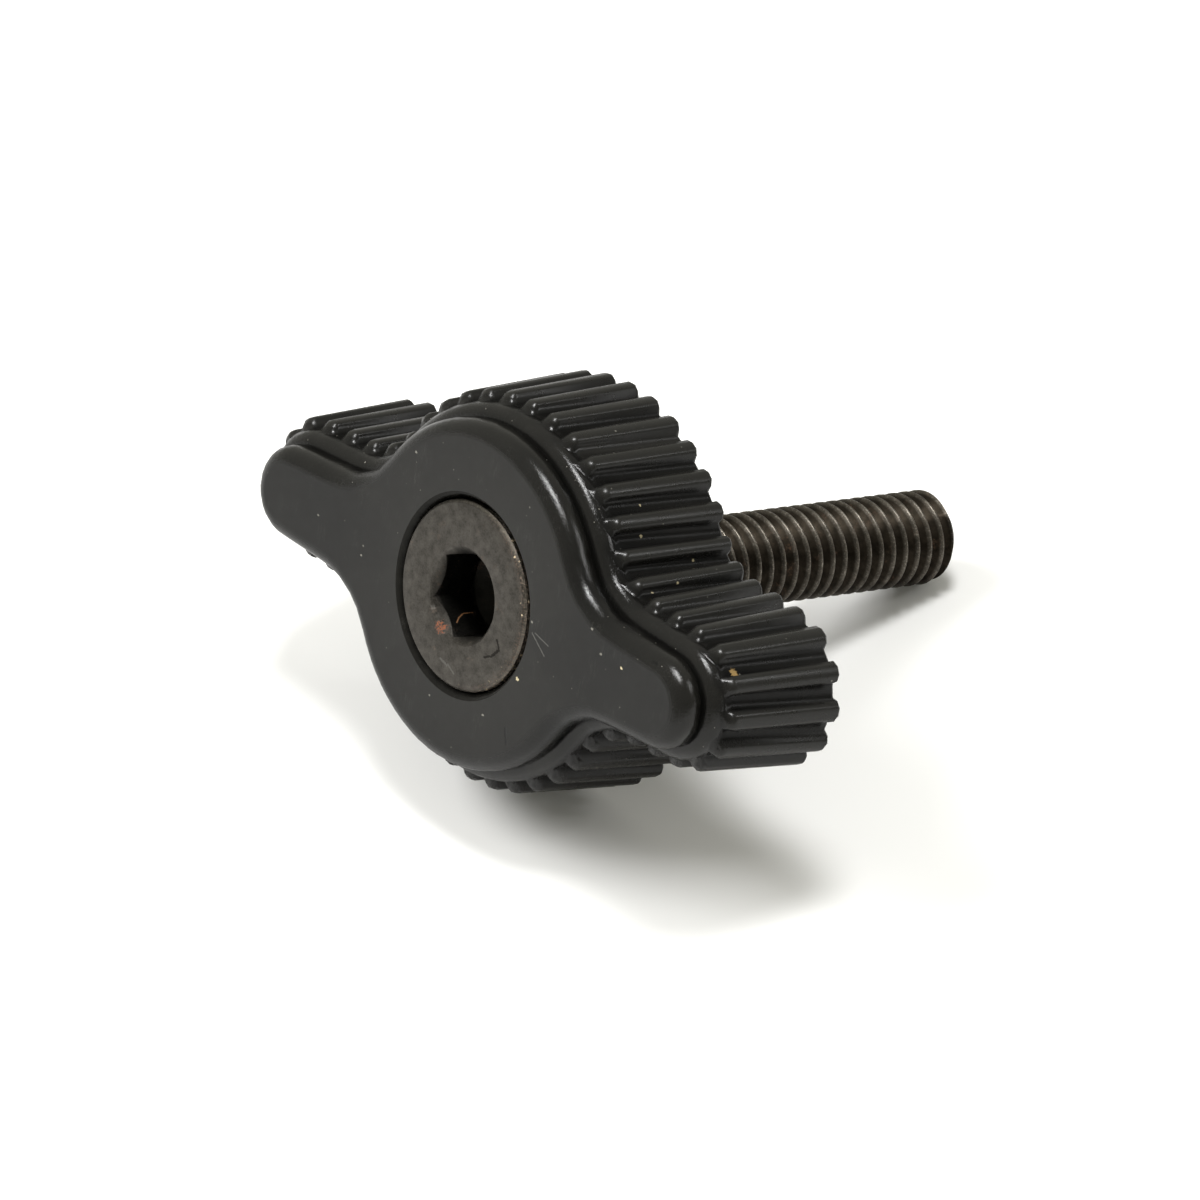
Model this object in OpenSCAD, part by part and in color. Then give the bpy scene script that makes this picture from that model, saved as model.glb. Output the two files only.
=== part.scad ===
// Winged thumb screw, lying on a table as it comes to rest.
// A moulded plastic grip holds a socket head screw that is pressed in from the front.
// Units are millimetres and +Z is up. The face of the grip looks along -Y and the screw
// runs along +Y, down to the table. The part rests on two ribs of the hub and on the
// lower edge of the screw's tip.
//
// Every piece is first modelled on the screw's own axis: the face is at z = 0, z grows
// towards the screw's tip and the wings lie along x. at_rest() then lays it down.

/* [Grip outline] */
// radius of the round hub, at the front plate
hub_r = 10.73; // [9.5:0.01:13]
// distance from the screw's axis to the centre of a wing tip
wing_reach = 17.8; // [16:0.01:24]
// radius of a wing tip, at the front plate
tip_r = 2.9; // [2.2:0.05:4]
// slope of a wing's sides, which spread towards the hub, in degrees
wing_taper = 2.9; // [0:0.1:6]
// radius of the hollow where a wing runs into the hub
waist_r = 5.8; // [4:0.1:7]

/* [Grip edge, from the front to the back] */
// thickness of the whole grip
grip_t = 11.05; // [8:0.1:16]
// rounding of the front plate's edge
plate_round = 1.04; // [0.5:0.02:1.4]
// thickness of the front plate, down to the groove
plate_t = 1.55; // [1.45:0.05:2.5]
// width of the groove behind the front plate
groove_w = 0.24; // [0.1:0.02:0.4]
// depth of the groove
groove_d = 0.3; // [0.1:0.02:0.45]
// how far the shoulder stands out past the front plate, also its rounding
shoulder_out = 0.82; // [0.4:0.05:1.1]
// slope of the flank and its ribs, which spread to the back, in degrees
flank_draft = 3.2; // [0.5:0.1:5]
// rounding of the back edge
back_round = 0.4; // [0.1:0.05:0.6]

/* [Grip ribs] */
// rib spacings on a quarter of the outline, from a wing tip to the middle of the hub
rib_spaces = 13; // [9:1:15]
// radius of a rib and of its ball end at the front
rib_r = 0.62; // [0.4:0.02:0.8]
// rounding of a rib's back end
rib_back = 0.35; // [0.1:0.05:0.8]
// how far the middle line of a rib stands off the flank
rib_proud = 0.1; // [0:0.02:0.2]
// how square a rib is across: 2 is round
rib_square = 2.8; // [2:0.1:4]

/* [Screw] */
// diameter of the head
head_d = 11.7; // [10:0.1:16]
// height of the head
head_h = 4.5; // [4:0.1:7]
// bevel of the head's rim
head_bevel = 0.2; // [0.05:0.05:0.5]
// width across the flats of the socket
socket_af = 5; // [4:0.5:5]
// depth of the socket's flats
socket_depth = 3; // [2:0.1:3.2]
// diameter of the socket's bevelled mouth
mouth_d = 6.1; // [5.9:0.1:8]
// turn of the socket's flats from the line of the wings, in degrees
socket_turn = 20.8; // [0:0.1:60]
// diameter over the crests of the M6 thread
thread_d = 5.9; // [4:0.1:8]
// diameter of the plain shank between the head and the thread
plain_d = 6.3; // [5:0.1:9]
// how far the plain shank stands out of the grip before the thread starts
plain_out = 0.6; // [0.3:0.1:8]
// length of the screw under its head, down to its tip
shank_l = 33.3; // [25:0.1:60]
// bevel of the screw's tip
tip_bevel = 0.75; // [0.3:0.05:1.2]

/* [Fits] */
// room round the head in its seat
head_room = 0.02; // [0.01:0.01:0.1]
// room round the shank in its hole
shank_room = 0.05; // [0.02:0.01:0.3]
// width of the bevel round the head's seat
seat_bevel = 0.5; // [0.2:0.05:0.8]

/* [Hidden] */
$fn = 64;
// small overlap that keeps joined pieces whole and cuts clean
bite = 0.01;
// angle of the drill point at the bottom of the socket
drill_point = 118;
// steps of the roundings on the edge of the plate and of the shoulder
plate_steps = 5;
shoulder_steps = 4;
// levels of a rib's round ends, as angles up from the level where the end starts
ball_levels = [90, 60, 30, 0];

// Sizes of the screw
head_r = head_d / 2;
thread_r = thread_d / 2;
plain_r = plain_d / 2;
plain_end = grip_t + plain_out;
screw_l = head_h + shank_l;

// Levels of the grip's edge behind the face, and how far the flank is out at a level
shoulder_z = plate_t + groove_w;
flank_z = shoulder_z + shoulder_out;
function flank_out(z) = shoulder_out + (z - flank_z) * tan(flank_draft);

// Outline of a quarter. A wing's side is the line side_c from the axis along side_n.
// It runs into the hub by a hollow round waist_p, which is side_t0 along the side.
side_n = [sin(wing_taper), cos(wing_taper)];
side_t = [cos(wing_taper), -sin(wing_taper)];
side_c = wing_reach * sin(wing_taper) + tip_r;
side_t0 = sqrt(pow(hub_r + waist_r, 2) - pow(side_c + waist_r, 2));
side_len = wing_reach * cos(wing_taper) - side_t0;
waist_p = side_n * (side_c + waist_r) + side_t * side_t0;
waist_a = atan2(waist_p[1], waist_p[0]);
side_a = 90 - wing_taper;

function ray(a) = [cos(a), sin(a)];

// Rib track: the outline grown by track_out, measured from the wing tip along the curve
deg = PI / 180;
rib_z0 = flank_z + rib_r;
rib_z1 = grip_t - rib_back;
track_out = flank_out(rib_z0) + rib_proud;
tip_len = (tip_r + track_out) * side_a * deg;
hollow_at = tip_len + side_len;
hub_at = hollow_at + (waist_r - track_out) * (side_a - waist_a) * deg;
track_len = hub_at + (hub_r + track_out) * (90 - waist_a) * deg;
rib_step = track_len / rib_spaces;

// Direction in which the flank looks at the length s along the rib track
function look(s) =
    s < tip_len ? s / (tip_r + track_out) / deg
    : s < hollow_at ? side_a
    : s < hub_at ? side_a - (s - hollow_at) / (waist_r - track_out) / deg
    : 90 - (track_len - s) / (hub_r + track_out) / deg;

// Point of the plate's outline below that length: on the tip, the side, the hollow or
// the hub, as [x, y, direction in which the flank looks]
function spot(p, a) = [p[0], p[1], a];
function foot(s) =
    s < tip_len ? spot([wing_reach, 0] + ray(look(s)) * tip_r, look(s))
    : s < hollow_at ? spot(side_n * side_c + side_t * (side_t0 + hollow_at - s), side_a)
    : s < hub_at ? spot(waist_p - ray(look(s)) * waist_r, look(s))
    : spot(ray(look(s)) * hub_r, look(s));

// The same all the way round: a quarter, its mirror image, then both after half a turn
half_len = 2 * track_len;
function mirrored(p) = [-p[0], p[1], 180 - p[2]];
function half_turned(p) = [-p[0], -p[1], 180 + p[2]];
function outline(s) =
    s < 0 ? outline(s + 2 * half_len)
    : s <= track_len ? foot(s)
    : s <= half_len ? mirrored(foot(half_len - s))
    : half_turned(outline(s - half_len));

// Front of the edge as [out from the outline, depth]: the plate, its groove, the shoulder
front_rows = concat(
    [for (a = [0 : 90 / plate_steps : 90]) plate_round * [sin(a) - 1, 1 - cos(a)]],
    [[0, plate_t], [-groove_d, plate_t], [-groove_d, shoulder_z]],
    [
        for (a = [0 : 90 / shoulder_steps : 89])
            [shoulder_out * sin(a), flank_z - shoulder_out * cos(a)]
    ]
);

// Levels of the ribbed flank, from the end of the shoulder to the back
rib_levels = concat(
    [for (a = ball_levels) rib_z0 - rib_r * sin(a)],
    [for (i = [len(ball_levels) - 1 : -1 : 0]) rib_z1 + rib_back * sin(ball_levels[i])]
);

// Stations across a rib, as offsets from its middle line
rib_foot = sqrt(pow(rib_r, 2) - pow(rib_proud, 2));
rib_side = rib_r * sin(56);
rib_crown = rib_r * sin(20);
across = [-rib_foot, -rib_side, -rib_crown, rib_crown, rib_side, rib_foot];

// How far out the flank is between the ribs, with its rounded back edge
back_z = grip_t - back_round;
function valley_out(z) =
    z <= back_z ? flank_out(z)
    : flank_out(back_z) - back_round + sqrt(max(0, pow(back_round, 2) - pow(z - back_z, 2)));

// Half the width of a rib at the depth z, and how far out the skin is at the offset u
function rib_half(z) =
    rib_r * sqrt(max(0, 1 - pow(max((rib_z0 - z) / rib_r, (z - rib_z1) / rib_back, 0), 2)));
function crown_out(half, u) =
    pow(pow(half, rib_square) - pow(abs(u), rib_square), 1 / rib_square);
function skin_out(z, u) =
    abs(u) < rib_half(z) - bite
    ? max(valley_out(z), flank_out(z) + rib_proud + crown_out(rib_half(z), u))
    : valley_out(z);

// Rest: the hub sits on the ribs on both sides of a gap, so the wings are half a
// spacing off level, and the axis slopes until the end of the screw meets the table.
// The bearing is how far the table is from the start of the ribs' round back ends.
roll = rib_step / (hub_r + track_out) / deg / 2;
rest_r = (hub_r + track_out + (rib_z1 - rib_z0) * tan(flank_draft)) * cos(roll);
rest_dr = rest_r - thread_r;
rest_dz = screw_l - tip_bevel - rib_z1;
function slope(bearing) =
    atan2(rest_dr, rest_dz) + asin(bearing / sqrt(pow(rest_dr, 2) + pow(rest_dz, 2)));
first_slope = slope(rib_r);
tilt = slope(sqrt(pow(rib_r * cos(first_slope), 2) + pow(rib_back * sin(first_slope), 2)));
lift = (screw_l - tip_bevel) * sin(tilt) + thread_r * cos(tilt);
front_y = -(hub_r - plate_round) * sin(tilt) - plate_round * (1 - cos(tilt));
back_y = screw_l * cos(tilt) + (thread_r - tip_bevel) * sin(tilt);

module at_rest() {
    translate([0, -(front_y + back_y) / 2, lift])
        rotate([-90 - tilt, 0, 0])
            rotate([0, 0, -roll])
                children();
}

// Grip without its seat: one skin. Two columns of points at every rib carry the front of
// the edge, and a column at every station across the rib carries the ribbed flank. The
// face and the back are strips from each column to its mirror image across the wings.
module grip_skin() {
    ribs = 4 * rib_spaces;
    fronts = len(front_rows);
    levels = len(rib_levels);
    wide = len(across);
    columns = wide * ribs;
    flank_0 = 2 * ribs * fronts;
    function out_by(at, out, z) = [at[0] + out * cos(at[2]), at[1] + out * sin(at[2]), z];
    function front(i, j) = (i % (2 * ribs)) * fronts + j;
    function flank(i, j) = flank_0 + (i % columns) * levels + j;
    polyhedron(
        points = concat(
            [
                for (i = [0 : ribs - 1], u = [-rib_foot, rib_foot], row = front_rows)
                    out_by(outline(i * rib_step + u), row[0], row[1])
            ],
            [
                for (i = [0 : ribs - 1], u = across, z = rib_levels)
                    out_by(outline(i * rib_step + u), skin_out(z, u), z)
            ]
        ),
        faces = concat(
            [
                for (i = [1 : ribs - 1])
                    [front(i, 0), front(i + 1, 0), front(2 * ribs - i, 0), front(2 * ribs + 1 - i, 0)]
            ],
            [
                for (i = [0 : 2 * ribs - 1], j = [0 : fronts - 2])
                    [front(i, j), front(i, j + 1), front(i + 1, j + 1), front(i + 1, j)]
            ],
            [
                for (i = [0 : ribs - 1], k = [0 : wide - 2])
                    [front(2 * i, fronts - 1), flank(wide * i + k, 0), flank(wide * i + k + 1, 0)]
            ],
            [
                for (i = [0 : ribs - 1])
                    [front(2 * i, fronts - 1), flank(wide * (i + 1) - 1, 0), front(2 * i + 1, fronts - 1)]
            ],
            [
                for (i = [0 : ribs - 1])
                    [
                        front(2 * i + 1, fronts - 1), flank(wide * (i + 1) - 1, 0),
                        flank(wide * (i + 1), 0), front(2 * i + 2, fronts - 1)
                    ]
            ],
            [
                for (i = [0 : columns - 1], j = [0 : levels - 2])
                    [flank(i, j), flank(i, j + 1), flank(i + 1, j + 1), flank(i + 1, j)]
            ],
            [
                for (i = [0 : columns / 2 - 2])
                    let (k = i + wide / 2, mate = columns + wide / 2 - 1 - i)
                        [
                            flank(mate, levels - 1), flank(mate - 1, levels - 1),
                            flank(k + 1, levels - 1), flank(k, levels - 1)
                        ]
            ]
        )
    );
}

// Room for the screw: bevelled seat for the head and a hole for the shank
module screw_seat() {
    seat_r = head_r + head_room;
    translate([0, 0, -bite])
        cylinder(h = head_h + bite, r = seat_r);
    translate([0, 0, -bite])
        cylinder(h = seat_bevel + bite, r1 = seat_r + seat_bevel + bite, r2 = seat_r);
    cylinder(h = grip_t + bite, r = plain_r + shank_room);
}

module wing_grip() {
    color("dimgray")
        at_rest()
            difference() {
                grip_skin();
                screw_seat();
            }
}

// Hexagon socket with a bevelled mouth and the point that its drill leaves
module socket() {
    corner_r = socket_af / 2 / cos(30);
    flat_r = socket_af / 2;
    mouth_r = mouth_d / 2;
    translate([0, 0, -bite])
        rotate([0, 0, -socket_turn])
            cylinder(h = socket_depth + bite, r = corner_r, $fn = 6);
    translate([0, 0, -bite])
        cylinder(h = mouth_r - flat_r + bite, r1 = mouth_r + bite, r2 = flat_r);
    translate([0, 0, socket_depth - bite])
        cylinder(h = flat_r / tan(drill_point / 2) + bite, r1 = flat_r, r2 = 0);
}

module cap_screw() {
    color("darkslategray")
        at_rest()
            difference() {
                union() {
                    cylinder(h = head_bevel, r1 = head_r - head_bevel, r2 = head_r);
                    translate([0, 0, head_bevel])
                        cylinder(h = head_h - head_bevel, r = head_r);
                    cylinder(h = plain_end, r = plain_r);
                    cylinder(h = screw_l - tip_bevel, r = thread_r);
                    translate([0, 0, screw_l - tip_bevel])
                        cylinder(h = tip_bevel, r1 = thread_r, r2 = thread_r - tip_bevel);
                }
                socket();
            }
}

wing_grip();
cap_screw();
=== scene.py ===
"""Thumb screw on a white table: black moulded grip and blackened socket head screw."""

import math

import bpy
from mathutils import Matrix, Vector


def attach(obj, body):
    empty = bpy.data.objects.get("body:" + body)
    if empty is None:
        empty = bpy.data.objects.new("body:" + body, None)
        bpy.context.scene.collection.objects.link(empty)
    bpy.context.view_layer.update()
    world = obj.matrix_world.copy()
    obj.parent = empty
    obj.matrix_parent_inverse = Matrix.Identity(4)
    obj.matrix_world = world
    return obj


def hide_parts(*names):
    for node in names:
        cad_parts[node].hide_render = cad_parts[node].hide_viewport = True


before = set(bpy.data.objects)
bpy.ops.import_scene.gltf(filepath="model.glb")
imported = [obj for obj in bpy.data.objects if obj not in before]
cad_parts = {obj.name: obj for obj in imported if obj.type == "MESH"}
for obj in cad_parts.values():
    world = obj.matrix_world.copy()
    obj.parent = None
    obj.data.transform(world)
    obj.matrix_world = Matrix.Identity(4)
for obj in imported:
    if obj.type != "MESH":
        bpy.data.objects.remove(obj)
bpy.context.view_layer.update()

MM = 0.001

# How the part lies, as in the part's source: the screw's own axis is tipped down by TILT,
# the wings are turned by ROLL, and the middle of the face is at FACE_AT.
TILT = math.radians(20.2854)
ROLL = math.radians(4.9966)
FACE_AT = Vector((0, -16.3971, 15.6121)) * MM
LAID = (Matrix.Translation(FACE_AT) @ Matrix.Rotation(-math.pi / 2 - TILT, 4, "X")
        @ Matrix.Rotation(-ROLL, 4, "Z"))
AXIS = LAID.to_3x3() @ Vector((0, 0, 1))

# Sizes of the grip, in millimetres. Depths count from the face towards the tip.
GRIP_T = 11.05
SEAT_R = 6.5
FLAT = 0.004

# Sizes of the screw, in millimetres
CREST_R = 2.95
SCREW_L = 37.8
PITCH = 1.0
THREAD_AT = 11.65
TIP_BEVEL = 0.75
HEAD_END = 6.0
SOCKET_R = 2.95

# The thread's profile over one pitch, as (distance along the axis, radius). Its crest is worn round.
PROFILE = [(-0.5, 2.345), (-0.4, 2.375), (-0.085, 2.915), (-0.03, CREST_R),
           (0.03, CREST_R), (0.085, 2.915), (0.4, 2.375), (0.5, 2.345)]
TURNS = 30
STEPS = 40
PAST_TIP = 1.5
CUT_PAST_TIP = 0.6


# Modelling helpers

def only(obj):
    """Makes obj the one selected and active object."""
    bpy.ops.object.select_all(action="DESELECT")
    obj.select_set(True)
    bpy.context.view_layer.objects.active = obj


def newest(name):
    """Names the object that was just added."""
    obj = bpy.context.object
    obj.name = name
    obj.data.name = name
    return obj


def edit(obj):
    """Opens obj in edit mode with nothing selected."""
    only(obj)
    bpy.ops.object.mode_set(mode="EDIT")
    bpy.ops.mesh.select_all(action="DESELECT")


def done():
    """Leaves edit mode."""
    bpy.ops.object.mode_set(mode="OBJECT")


def pick_edges(obj, test):
    """In edit mode, selects the edges of obj whose ends both pass test."""
    bpy.ops.mesh.select_mode(type="EDGE")
    bpy.ops.object.mode_set(mode="OBJECT")
    for edge in obj.data.edges:
        edge.select = all(test(obj.data.vertices[end].co) for end in edge.vertices)
    bpy.ops.object.mode_set(mode="EDIT")


def joined(threshold):
    """In edit mode, merges all vertices that lie within threshold."""
    bpy.ops.mesh.select_all(action="SELECT")
    bpy.ops.mesh.remove_doubles(threshold=threshold)


def cut_off(at, outwards):
    """In edit mode, removes all that lies beyond a plane and closes the cut."""
    bpy.ops.mesh.select_all(action="SELECT")
    bpy.ops.mesh.bisect(plane_co=at, plane_no=outwards, use_fill=True, clear_outer=True,
                        threshold=0.00001 * MM)


def applied(obj, kind, name, **values):
    """Adds a modifier to obj with these values and applies it."""
    only(obj)
    modifier = obj.modifiers.new(name, kind)
    for key, value in values.items():
        setattr(modifier, key, value)
    bpy.ops.object.modifier_apply(modifier=name)


def drawn_line(name, points):
    """A line through points, drawn from one corner to the next."""
    bpy.ops.mesh.primitive_plane_add(size=0.1 * MM, location=points[0])
    line = newest(name)
    bpy.ops.object.transform_apply(location=True)
    edit(line)
    bpy.ops.mesh.select_all(action="SELECT")
    bpy.ops.mesh.merge(type="CENTER")
    for start, end in zip(points, points[1:]):
        step = [b - a for a, b in zip(start, end)]
        bpy.ops.mesh.extrude_region_move(TRANSFORM_OT_translate={"value": step})
    done()
    return line


def copy_of(node, name):
    """A copy of a CAD node as a closed mesh with its own data."""
    only(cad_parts[node])
    bpy.ops.object.duplicate()
    obj = newest(name)
    for key in [key for key in obj.keys() if key.startswith("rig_")]:
        del obj[key]
    obj.parent = None
    obj.matrix_world = Matrix.Identity(4)
    edit(obj)
    joined(0.001 * MM)
    done()
    return obj


def laid_down(obj):
    """Takes obj from the screw's own axis to where the part lies."""
    only(obj)
    obj.matrix_world = LAID @ obj.matrix_world
    bpy.ops.object.transform_apply(location=True, rotation=True, scale=True)


def smooth(obj, degrees):
    """Shades obj smooth, apart from edges sharper than this."""
    only(obj)
    bpy.ops.object.shade_smooth_by_angle(angle=math.radians(degrees))


# Screw

def thread():
    """Right-hand thread from inside the grip to the bevelled tip."""
    bottom = SCREW_L + PAST_TIP - TURNS * PITCH
    ridge = drawn_line("screw_thread", [(r * MM, 0, (bottom + z) * MM) for z, r in PROFILE])
    applied(ridge, "SCREW", "turns", axis="Z", angle=math.tau, screw_offset=PITCH * MM,
            iterations=TURNS, steps=STEPS, render_steps=STEPS, use_merge_vertices=True,
            merge_threshold=0.001 * MM, use_smooth_shade=False)
    edit(ridge)
    joined(0.002 * MM)
    cut_off((0, 0, (THREAD_AT - 0.4) * MM), (0, 0, -1))
    cut_off((0, 0, (SCREW_L + CUT_PAST_TIP) * MM), (0, 0, 1))
    bpy.ops.mesh.select_all(action="SELECT")
    bpy.ops.mesh.normals_make_consistent(inside=False)
    done()
    bar = tip_bar()
    applied(ridge, "BOOLEAN", "tip", operation="INTERSECT", solver="EXACT", object=bar)
    bpy.data.objects.remove(bar)
    return ridge


def tip_bar():
    """Bar with the bevel of the screw's tip, a little thicker than the thread."""
    over = 0.3
    low = THREAD_AT - 1
    bpy.ops.mesh.primitive_cylinder_add(vertices=80, radius=(CREST_R + over) * MM,
                                        depth=(SCREW_L - low) * MM,
                                        location=(0, 0, (SCREW_L + low) / 2 * MM))
    bar = newest("tip_bar")
    bpy.ops.object.transform_apply(location=True)
    edit(bar)
    pick_edges(bar, lambda point: point.z > (SCREW_L - 0.01) * MM)
    bpy.ops.mesh.bevel(offset=(TIP_BEVEL + over) * MM, offset_type="OFFSET", segments=1)
    done()
    return bar


def head():
    """Head, socket and plain shank: a copy of the CAD screw, cut off where the thread starts."""
    top = copy_of("cap_screw", "screw_head")
    edit(top)
    cut_off(FACE_AT + AXIS * (THREAD_AT + 0.01) * MM, AXIS)
    done()
    applied(top, "BEVEL", "worn_edges", width=0.05 * MM, segments=2, limit_method="ANGLE",
            angle_limit=math.radians(25), harden_normals=False)
    return top


def screw():
    """The whole screw as one piece."""
    shank = thread()
    laid_down(shank)
    top = head()
    only(top)
    shank.select_set(True)
    bpy.ops.object.join()
    whole = newest("socket_head_screw")
    smooth(whole, 32)
    return whole


# Materials

class Bench:
    """A node tree with short calls for its nodes. Each call returns the node's output."""

    def __init__(self, tree):
        self.tree = tree

    def feed(self, socket, value):
        """Links value to socket, or sets it there. A colour is given as three numbers."""
        if isinstance(value, bpy.types.NodeSocket):
            self.tree.links.new(value, socket)
        elif socket.type == "RGBA":
            socket.default_value = (*value, 1)
        else:
            socket.default_value = value

    def put(self, kind, output=0, props=None, **inputs):
        """A node of this kind. Inputs go by name, or by number as i0, i1."""
        node = self.tree.nodes.new(kind)
        for key, value in (props or {}).items():
            setattr(node, key, value)
        for key, value in inputs.items():
            by_number = key[1:].isdigit()
            self.feed(node.inputs[int(key[1:]) if by_number else key.replace("_", " ")], value)
        return node.outputs[output]

    def math(self, operation, a, b=0.0, clamp=False):
        return self.put("ShaderNodeMath", props={"operation": operation, "use_clamp": clamp},
                        i0=a, i1=b)

    def plus(self, a, b, clamp=False):
        return self.math("ADD", a, b, clamp)

    def minus(self, a, b, clamp=False):
        return self.math("SUBTRACT", a, b, clamp)

    def share(self, a, b, clamp=False):
        """a divided by b."""
        return self.math("DIVIDE", a, b, clamp)

    def below(self, a, limit):
        return self.math("LESS_THAN", a, limit)

    def above(self, a, limit):
        return self.math("GREATER_THAN", a, limit)

    def times(self, first, *others):
        for other in others:
            first = self.math("MULTIPLY", first, other)
        return first

    def most(self, first, *others):
        for other in others:
            first = self.math("MAXIMUM", first, other)
        return first

    def vector(self, operation, a, b):
        output = 1 if operation in ("DOT_PRODUCT", "DISTANCE") else 0
        return self.put("ShaderNodeVectorMath", output, {"operation": operation}, i0=a, i1=b)

    def parts(self, where):
        """The three coordinates of a vector."""
        return [self.put("ShaderNodeSeparateXYZ", output=name, Vector=where) for name in "XYZ"]

    def radius(self, x, y):
        return self.math("SQRT", self.plus(self.times(x, x), self.times(y, y)))

    def noise(self, where, scale, detail=3.0, roughness=0.55, distortion=0.0):
        return self.put("ShaderNodeTexNoise", Vector=where, Scale=scale, Detail=detail,
                        Roughness=roughness, Distortion=distortion)

    def ramp(self, value, low, high, to_low=0.0, to_high=1.0):
        return self.put("ShaderNodeMapRange", props={"clamp": True}, Value=value, From_Min=low,
                        From_Max=high, To_Min=to_low, To_Max=to_high)

    def blend(self, amount, a, b):
        """Colour a where amount is 0 and colour b where it is 1."""
        node = self.tree.nodes.new("ShaderNodeMix")
        node.data_type = "RGBA"
        self.feed(node.inputs["Factor"], amount)
        self.feed(node.inputs[6], a)
        self.feed(node.inputs[7], b)
        return node.outputs[2]

    def coats(self, base, *layers):
        """Colours laid over base one after the other, each given as (amount, colour)."""
        for amount, colour in layers:
            base = self.blend(amount, base, colour)
        return base

    def group(self, tree, **inputs):
        """The mask of a node group."""
        node = self.tree.nodes.new("ShaderNodeGroup")
        node.node_tree = tree
        for key, value in inputs.items():
            self.feed(node.inputs[key], value)
        return node.outputs["Mask"]

    def marks(self, own, places):
        """All marks of one kind, each given as (start, end, width)."""
        mask = 0.0
        for start, end, width in places:
            mask = self.most(self.group(MARK, Vector=own, Start=start, End=end, Width=width), mask)
        return mask

    def bump(self, height, strength, **normal):
        return self.put("ShaderNodeBump", Height=height, Strength=strength, Distance=0.03 * MM, **normal)


def mask_group(name, **inputs):
    """A node group that puts out a mask. Each input is named with its value. Returns its tree,
    its bench and its inputs by name."""
    tree = bpy.data.node_groups.new(name, "ShaderNodeTree")
    for label, value in {"Vector": (0, 0, 0), **inputs}.items():
        kind = "NodeSocketFloat" if isinstance(value, float) else "NodeSocketVector"
        tree.interface.new_socket(name=label, in_out="INPUT", socket_type=kind).default_value = value
    tree.interface.new_socket(name="Mask", in_out="OUTPUT", socket_type="NodeSocketFloat")
    return tree, Bench(tree), tree.nodes.new("NodeGroupInput").outputs


def put_out(b, mask):
    """Ends a mask group."""
    b.feed(b.tree.nodes.new("NodeGroupOutput").inputs["Mask"], mask)


def specks_group():
    """Small round specks, scattered. Fewer of them as Bare grows towards 1."""
    tree, b, given = mask_group("specks", Spacing=1.0, Size=0.1, Bare=0.6)
    scale = b.share(1.0, given["Spacing"])
    cells = tree.nodes.new("ShaderNodeTexVoronoi")
    b.feed(cells.inputs["Vector"], given["Vector"])
    b.feed(cells.inputs["Scale"], scale)
    luck = b.put("ShaderNodeSeparateColor", Color=cells.outputs["Color"])
    kept = b.above(luck, given["Bare"])
    wobble = b.ramp(b.noise(given["Vector"], 9.0), 0.3, 0.7, 0.5, 1.4)
    reach = b.times(given["Size"], scale, wobble)
    inside = b.minus(1.0, b.share(cells.outputs["Distance"], reach), clamp=True)
    put_out(b, b.times(b.ramp(inside, 0.0, 0.35), kept))
    return tree


def scratches_group():
    """Fine straight scratches that run in one direction and break off."""
    tree, b, given = mask_group("scratches", Fineness=6.0, Turn=(0, 0, 0), Bare=0.6)
    turned = b.put("ShaderNodeMapping", Vector=given["Vector"], Rotation=given["Turn"],
                   Scale=(1.0, 0.06, 1.0))
    lines = b.noise(turned, given["Fineness"], 2.0, 0.7, 0.3)
    hair = b.minus(1.0, b.ramp(b.math("ABSOLUTE", b.minus(lines, 0.5)), 0.0, 0.008))
    broken = b.ramp(b.noise(given["Vector"], 0.45, 2.0), given["Bare"], 0.8)
    put_out(b, b.times(hair, broken))
    return tree


def mark_group():
    """One mark: all within Width of the line between two points, with a ragged outline."""
    tree, b, given = mask_group("mark", Start=(0, 0, 0), End=(0, 0, 1), Width=0.1)
    line = b.vector("SUBTRACT", given["End"], given["Start"])
    there = b.vector("SUBTRACT", given["Vector"], given["Start"])
    along = b.share(b.vector("DOT_PRODUCT", there, line), b.vector("DOT_PRODUCT", line, line), clamp=True)
    nearest = b.put("ShaderNodeVectorMath", props={"operation": "SCALE"}, i0=line, Scale=along)
    reach = b.times(given["Width"], b.ramp(b.noise(given["Vector"], 8.0), 0.3, 0.7, 0.5, 1.5))
    inside = b.minus(1.0, b.share(b.vector("DISTANCE", there, nearest), reach), clamp=True)
    put_out(b, b.ramp(inside, 0.0, 0.3))
    return tree


SPECKS = specks_group()
SCRATCHES = scratches_group()
MARK = mark_group()


def new_material(name):
    """A material with its Principled shader, and its vector in millimetres on the screw's own axis."""
    material = bpy.data.materials.new(name)
    material.use_nodes = True
    b = Bench(material.node_tree)
    shader = material.node_tree.nodes["Principled BSDF"].inputs
    place = b.put("ShaderNodeTexCoord", output="Object")
    own = b.put("ShaderNodeMapping", props={"vector_type": "TEXTURE"}, Vector=place, Location=FACE_AT,
                Rotation=LAID.to_euler("XYZ"), Scale=(MM, MM, MM))
    return material, b, shader, own


def speck(x, y, z, width):
    """A mark that is hardly longer than it is wide."""
    return (x, y, z), (x + 0.05, y, z), width


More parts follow.
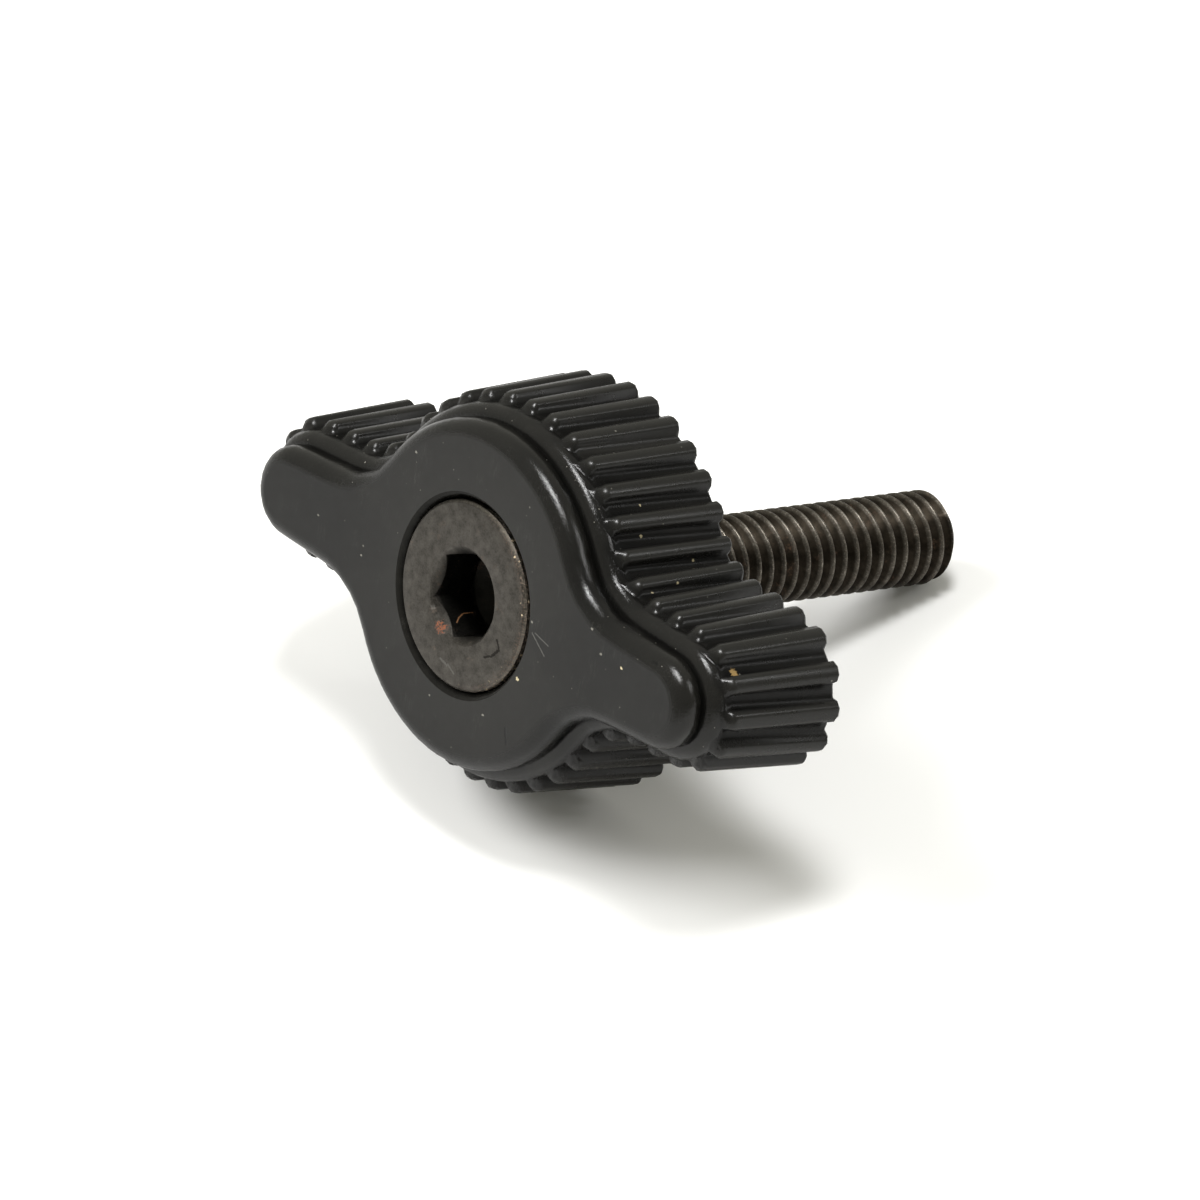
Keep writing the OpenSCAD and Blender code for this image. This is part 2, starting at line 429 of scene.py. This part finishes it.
# Marks on the part as (start, end, width), in millimetres on the screw's own axis
CHIPS = [speck(6.04, 3.04, 0, 0.13), speck(8.19, -8.36, 5.53, 0.08), speck(9.41, -6.90, 4.90, 0.11),
         speck(10.72, -5.51, 8.19, 0.1), speck(12.40, -4.93, 5.74, 0.1), speck(14.92, -1.09, 0, 0.09),
         ((12.15, -4.60, 3.5), (12.35, -4.40, 4.1), 0.05)]
DUST = [speck(-6.24, -6.97, 0, 0.08), speck(-14.24, 0.09, 0, 0.07), speck(-9.73, 1.01, 0, 0.07),
        speck(11.83, -2.39, 0, 0.09), speck(12.95, -1.23, 0, 0.09), speck(3.52, 6.35, 0, 0.08),
        speck(-1.54, 7.01, 0, 0.07), speck(6.50, -0.82, 0, 0.08)]
GRIT = [((20.50, -2.55, 3.72), (20.95, -2.48, 3.95), 0.22)]
RUBS = [((6.69, -0.17, 0), (8.07, 0.78, 0), 0.05), ((6.95, -0.27, 0), (8.28, 0.06, 0), 0.045)]
CUTS = [((5.70, 6.34, 0), (6.00, 7.19, 0), 0.1), ((17.35, -2.55, 0.1), (17.55, -2.25, 0.3), 0.11),
        ((17.65, -2.55, 0.1), (17.85, -2.20, 0.3), 0.11)]
HEAD_CRACKS = [((3.71, 1.42, 0), (4.03, 1.94, 0), 0.1), ((4.03, 1.94, 0), (3.50, 2.54, 0), 0.11),
               ((3.50, 2.54, 0), (2.81, 2.87, 0), 0.08)]
HEAD_RUBS = [((-1.05, 4.45, 0), (-0.4, 4.62, 0), 0.09), ((-0.3, 4.55, 0), (0.35, 4.9, 0), 0.07),
             speck(-2.51, 1.66, 0.04, 0.17), speck(-2.30, 1.35, 0.04, 0.1)]
RUST = [speck(-1.60, 2.62, 0.1, 0.45)]
HAIR = [((-1.18, 2.26, 0.95), (-1.42, 2.07, 1.28), 0.05), ((-1.42, 2.07, 1.28), (-1.61, 1.92, 1.74), 0.05),
        ((-1.61, 1.92, 1.74), (-1.59, 1.93, 2.44), 0.04)]

# Colours of the plastic
PLASTIC = (0.0043, 0.0042, 0.0039), (0.0064, 0.0061, 0.0055)
WORN_EDGE = (0.022, 0.021, 0.018)
SCRATCHED = (0.12, 0.118, 0.11)
DUSTY = (0.24, 0.23, 0.20)
CUT = (0.002, 0.002, 0.002)
SAND = (0.30, 0.20, 0.08)
CHIPPED = (0.50, 0.43, 0.27)

# Colours of the steel
HEAD_STEEL = (0.079, 0.073, 0.065), (0.174, 0.162, 0.145)
SHANK_STEEL = (0.018, 0.015, 0.011), (0.048, 0.039, 0.029)
# Worn bare steel, also a painted highlight on the rim and crests
BARE_STEEL_HIGHLIT = (0.21, 0.19, 0.16), (0.48, 0.44, 0.38)
# Near black inside the socket: painted shade
PAINTED_SOCKET_SHADE = (0.006, 0.006, 0.005)
BROWN_RUST = (0.16, 0.080, 0.038)
CRACKED = (0.012, 0.010, 0.008)
RUBBED_GREY = (0.34, 0.33, 0.31)
CRUMB = (0.50, 0.40, 0.27)
ORANGE_RUST = (0.24, 0.072, 0.028)
BROWN_HAIR = (0.17, 0.08, 0.032)


def grip_plastic():
    """Black moulded plastic: soft sheen, fine skin, scratches, pale dust and chips, and painted shade in
    the creases and the seat.
    """
    material, b, shader, own = new_material("grip_plastic")
    x, y, depth = b.parts(own)
    skin = b.tree.nodes.new("ShaderNodeNewGeometry").outputs

    # Places
    edges = b.ramp(skin["Pointiness"], 0.505, 0.56)
    # Low pointiness marks the creases between ribs, where the specular is turned down below: painted
    # shade.
    clear_of_crease_shade = b.ramp(skin["Pointiness"], 0.46, 0.502)
    on_face = b.ramp(depth, 0.5, 0.1)
    near_front = b.times(b.above(depth, 0.03), b.ramp(depth, 2.9, 2.5))
    in_seat = b.times(b.below(b.radius(x, y), SEAT_R), b.above(depth, FLAT))
    flat_side = b.most(b.below(depth, FLAT), b.above(depth, GRIP_T - FLAT))

    # Wear and dirt
    scratch = b.most(b.group(SCRATCHES, Vector=own, Fineness=3.2, Turn=(0, 0, 0.7), Bare=0.5),
                     b.group(SCRATCHES, Vector=own, Fineness=4.1, Turn=(0.4, 0, -0.9), Bare=0.55))
    scratch = b.most(b.times(scratch, b.ramp(on_face, 0, 1, 0.35, 0.7)), b.marks(own, RUBS))
    dust = b.most(b.group(SPECKS, Vector=own, Spacing=1.6, Size=0.07, Bare=0.74),
                  b.group(SPECKS, Vector=own, Spacing=0.65, Size=0.04, Bare=0.64),
                  b.marks(own, DUST))
    cuts = b.marks(own, CUTS)

    cloudy = b.ramp(b.noise(own, 0.35, 4.0), 0.35, 0.7)
    colour = b.coats(b.blend(cloudy, *PLASTIC),
                     (b.times(edges, 0.4), WORN_EDGE),
                     (b.times(scratch, 0.6), SCRATCHED),
                     (b.times(dust, 0.7), DUSTY),
                     (b.times(cuts, 0.8), CUT),
                     (b.marks(own, GRIT), SAND),
                     (b.marks(own, CHIPS), CHIPPED))
    b.feed(shader["Base Color"], colour)

    rough = b.ramp(b.noise(own, 1.1, 5.0, 0.65), 0.3, 0.7, 0.25, 0.33)
    rough = b.plus(rough, b.times(on_face, 0.06))
    rough = b.minus(rough, b.times(near_front, 0.11))
    rough = b.plus(rough, b.times(b.most(scratch, dust), 0.2), clamp=True)
    b.feed(shader["Roughness"], rough)

    # Specular is turned down in the creases and in the seat around the head: painted shade.
    gloss_with_painted_shade = b.times(b.ramp(clear_of_crease_shade, 0, 1, 0.16, 0.44), b.minus(1.0, b.times(in_seat, 0.75)))
    b.feed(shader["Specular IOR Level"], gloss_with_painted_shade)

    height = b.plus(b.times(b.noise(own, 14.0, 3.0), 0.04), b.times(b.noise(own, 2.0, 2.0), 0.1))
    height = b.plus(height, b.times(b.noise(own, 5.5, 3.0, 0.75), 2.2, near_front))
    height = b.minus(height, b.most(b.times(scratch, 0.5), cuts))
    straight = b.blend(flat_side, skin["Normal"], skin["True Normal"])
    b.feed(shader["Normal"], b.bump(height, 0.3, Normal=straight))
    return material


def black_steel():
    """Blackened steel: mottled face, rim and crests worn bright and lightened further as painted
    highlight, painted shade in the socket, a little rust.
    """
    material, b, shader, own = new_material("screw_steel")
    x, y, z = b.parts(own)
    radius = b.radius(x, y)
    cloudy = b.noise(own, 1.4, 6.0, 0.65)
    grain = b.noise(own, 9.0, 4.0, 0.6)

    # Places
    on_head = b.below(z, HEAD_END)
    crest = b.times(b.ramp(radius, 2.72, 2.93), b.minus(1.0, on_head))
    rim = b.times(b.ramp(radius, 5.67, 5.76), on_head)
    by_rim = b.times(b.ramp(radius, 5.25, 5.6), on_head, b.ramp(x, 0.5, 3.0))
    # Inside the socket the colour goes near black with depth: painted shade.
    socket_shade = b.times(b.below(radius, SOCKET_R), on_head, b.ramp(z, 0.0, 0.6))

    # Wear, dirt and painted highlight
    # Rim and crests are lightened towards bare steel: partly wear, partly a painted highlight.
    rubbed_and_highlit = b.times(b.most(rim, crest), b.ramp(cloudy, 0.3, 0.62, 0.35, 1.0))
    rust = b.times(b.ramp(b.noise(own, 0.9, 5.0, 0.7), 0.58, 0.72), b.ramp(grain, 0.4, 0.62))
    rust = b.most(rust, b.times(by_rim, b.ramp(grain, 0.48, 0.66)))
    crumbs = b.times(b.group(SPECKS, Vector=own, Spacing=0.38, Size=0.1, Bare=0.35), by_rim)
    pits = b.group(SPECKS, Vector=own, Spacing=0.8, Size=0.1, Bare=0.55)
    cracks = b.most(b.times(pits, 0.4), b.marks(own, HEAD_CRACKS))
    orange = b.times(b.marks(own, RUST), b.ramp(grain, 0.42, 0.58))
    hair = b.marks(own, HAIR)

    mottled = b.ramp(b.plus(b.times(cloudy, 0.6), b.times(grain, 0.4)), 0.38, 0.62)
    colour = b.coats(b.blend(b.ramp(cloudy, 0.35, 0.68), *SHANK_STEEL),
                     (on_head, b.blend(mottled, *HEAD_STEEL)),
                     (b.times(socket_shade, 0.9), PAINTED_SOCKET_SHADE),
                     (b.times(rubbed_and_highlit, 0.8), b.blend(b.ramp(grain, 0.52, 0.66), *BARE_STEEL_HIGHLIT)),
                     (b.times(rust, 0.5), BROWN_RUST),
                     (b.times(cracks, 0.75), CRACKED),
                     (b.times(b.marks(own, HEAD_RUBS), 0.4), RUBBED_GREY),
                     (crumbs, CRUMB),
                     (orange, ORANGE_RUST),
                     (hair, BROWN_HAIR))
    b.feed(shader["Base Color"], colour)

    dull = b.most(orange, hair, crumbs, b.times(rust, 0.7))
    b.feed(shader["Metallic"], b.minus(1.0, dull))

    rough = b.plus(b.ramp(grain, 0.3, 0.7, 0.38, 0.58), b.times(dull, 0.3))
    b.feed(shader["Roughness"], b.minus(rough, b.times(rubbed_and_highlit, 0.12), clamp=True))

    height = b.plus(b.times(grain, 0.5), b.times(cloudy, 0.6))
    height = b.minus(height, b.times(cracks, 0.6))
    b.feed(shader["Normal"], b.bump(height, 0.4))
    return material


def dressed(obj, material):
    """Gives obj this one material."""
    obj.data.materials.clear()
    obj.data.materials.append(material)


# Studio

def floor():
    """White table, wide enough to fill every view. Where the part mirrors it, its colour is darker:
    painted shade.
    """
    bpy.ops.mesh.primitive_grid_add(x_subdivisions=2, y_subdivisions=2, size=6,
                                    location=(0, 0, -0.00002))
    table = newest("table")
    material = bpy.data.materials.new("white_table")
    material.use_nodes = True
    shader = material.node_tree.nodes["Principled BSDF"].inputs
    b = Bench(material.node_tree)
    mirrored = b.put("ShaderNodeLightPath", output="Is Glossy Ray")
    # The table seen in the part's reflections gets a darker colour: painted shade.
    b.feed(shader["Base Color"], b.blend(mirrored, (0.86, 0.86, 0.85), (0.47, 0.468, 0.466)))
    shader["Roughness"].default_value = 0.9
    shader["Specular IOR Level"].default_value = 0.1
    table.data.materials.append(material)
    return table


def softbox(name, at, size, watts, aim=(0, 0, 0.01)):
    """A flat lamp that looks at the part."""
    lamp = bpy.data.lights.new(name, "AREA")
    lamp.shape = "RECTANGLE"
    lamp.size, lamp.size_y = size
    lamp.energy = watts
    obj = bpy.data.objects.new(name, lamp)
    obj.location = at
    obj.rotation_euler = (Vector(aim) - Vector(at)).to_track_quat("-Z", "Y").to_euler()
    bpy.context.scene.collection.objects.link(obj)
    return obj


def studio_air():
    """Soft surroundings: white where they are seen, greyer as light, darker in reflections."""
    world = bpy.data.worlds.new("studio_air")
    bpy.context.scene.world = world
    world.use_nodes = True
    b = Bench(world.node_tree)
    path = world.node_tree.nodes.new("ShaderNodeLightPath").outputs
    seen = b.most(path["Is Camera Ray"], path["Is Transmission Ray"])
    sideways = b.parts(b.put("ShaderNodeTexCoord", output="Generated"))[0]
    mirrored = b.times(path["Is Glossy Ray"], b.ramp(sideways, -0.8, 0.4, 0.42, 0.22))
    light = b.times(b.minus(1.0, path["Is Glossy Ray"]), 0.5)
    background = world.node_tree.nodes["Background"].inputs
    b.feed(background["Color"], b.blend(seen, (1, 0.985, 0.88), (1, 1, 1)))
    b.feed(background["Strength"], b.most(b.plus(light, mirrored), seen))


def camera():
    """The photo's viewpoint, fitted to its picture of the part."""
    lens = bpy.data.cameras.new("camera")
    lens.sensor_width = 36
    lens.lens = 330
    lens.clip_start = 0.01
    lens.clip_end = 20
    obj = bpy.data.objects.new("camera", lens)
    right = Vector((0.6104836, 0.7891218, -0.0677972))
    up = Vector((-0.4332452, 0.4043707, 0.8054706))
    turn = Matrix((right, up, right.cross(up))).transposed().to_4x4()
    obj.matrix_world = Matrix.Translation((0.4436837, -0.3157651, 0.4042595)) @ turn
    bpy.context.scene.collection.objects.link(obj)
    bpy.context.scene.camera = obj


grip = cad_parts["wing_grip"]
dressed(grip, grip_plastic())
weld = grip.modifiers.new("weld", "WELD")
weld.merge_threshold = 0.001 * MM
flat = grip.modifiers.new("even_normals", "WEIGHTED_NORMAL")
flat.weight = 100
flat.keep_sharp = True
smooth(grip, 62)

whole_screw = screw()
dressed(whole_screw, black_steel())
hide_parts("cap_screw")
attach(whole_screw, "root")

floor()
studio_air()
softbox("overhead", (0.07, 0.05, 0.95), (0.24, 0.24), 6.2)
softbox("front_left", (-0.50, -0.48, 0.72), (0.5, 0.5), 9.6).visible_glossy = False
softbox("right_hand", (0.42, 0.50, 0.42), (0.05, 0.16), 0.5)
camera()
bpy.context.scene.view_settings.view_transform = "Standard"
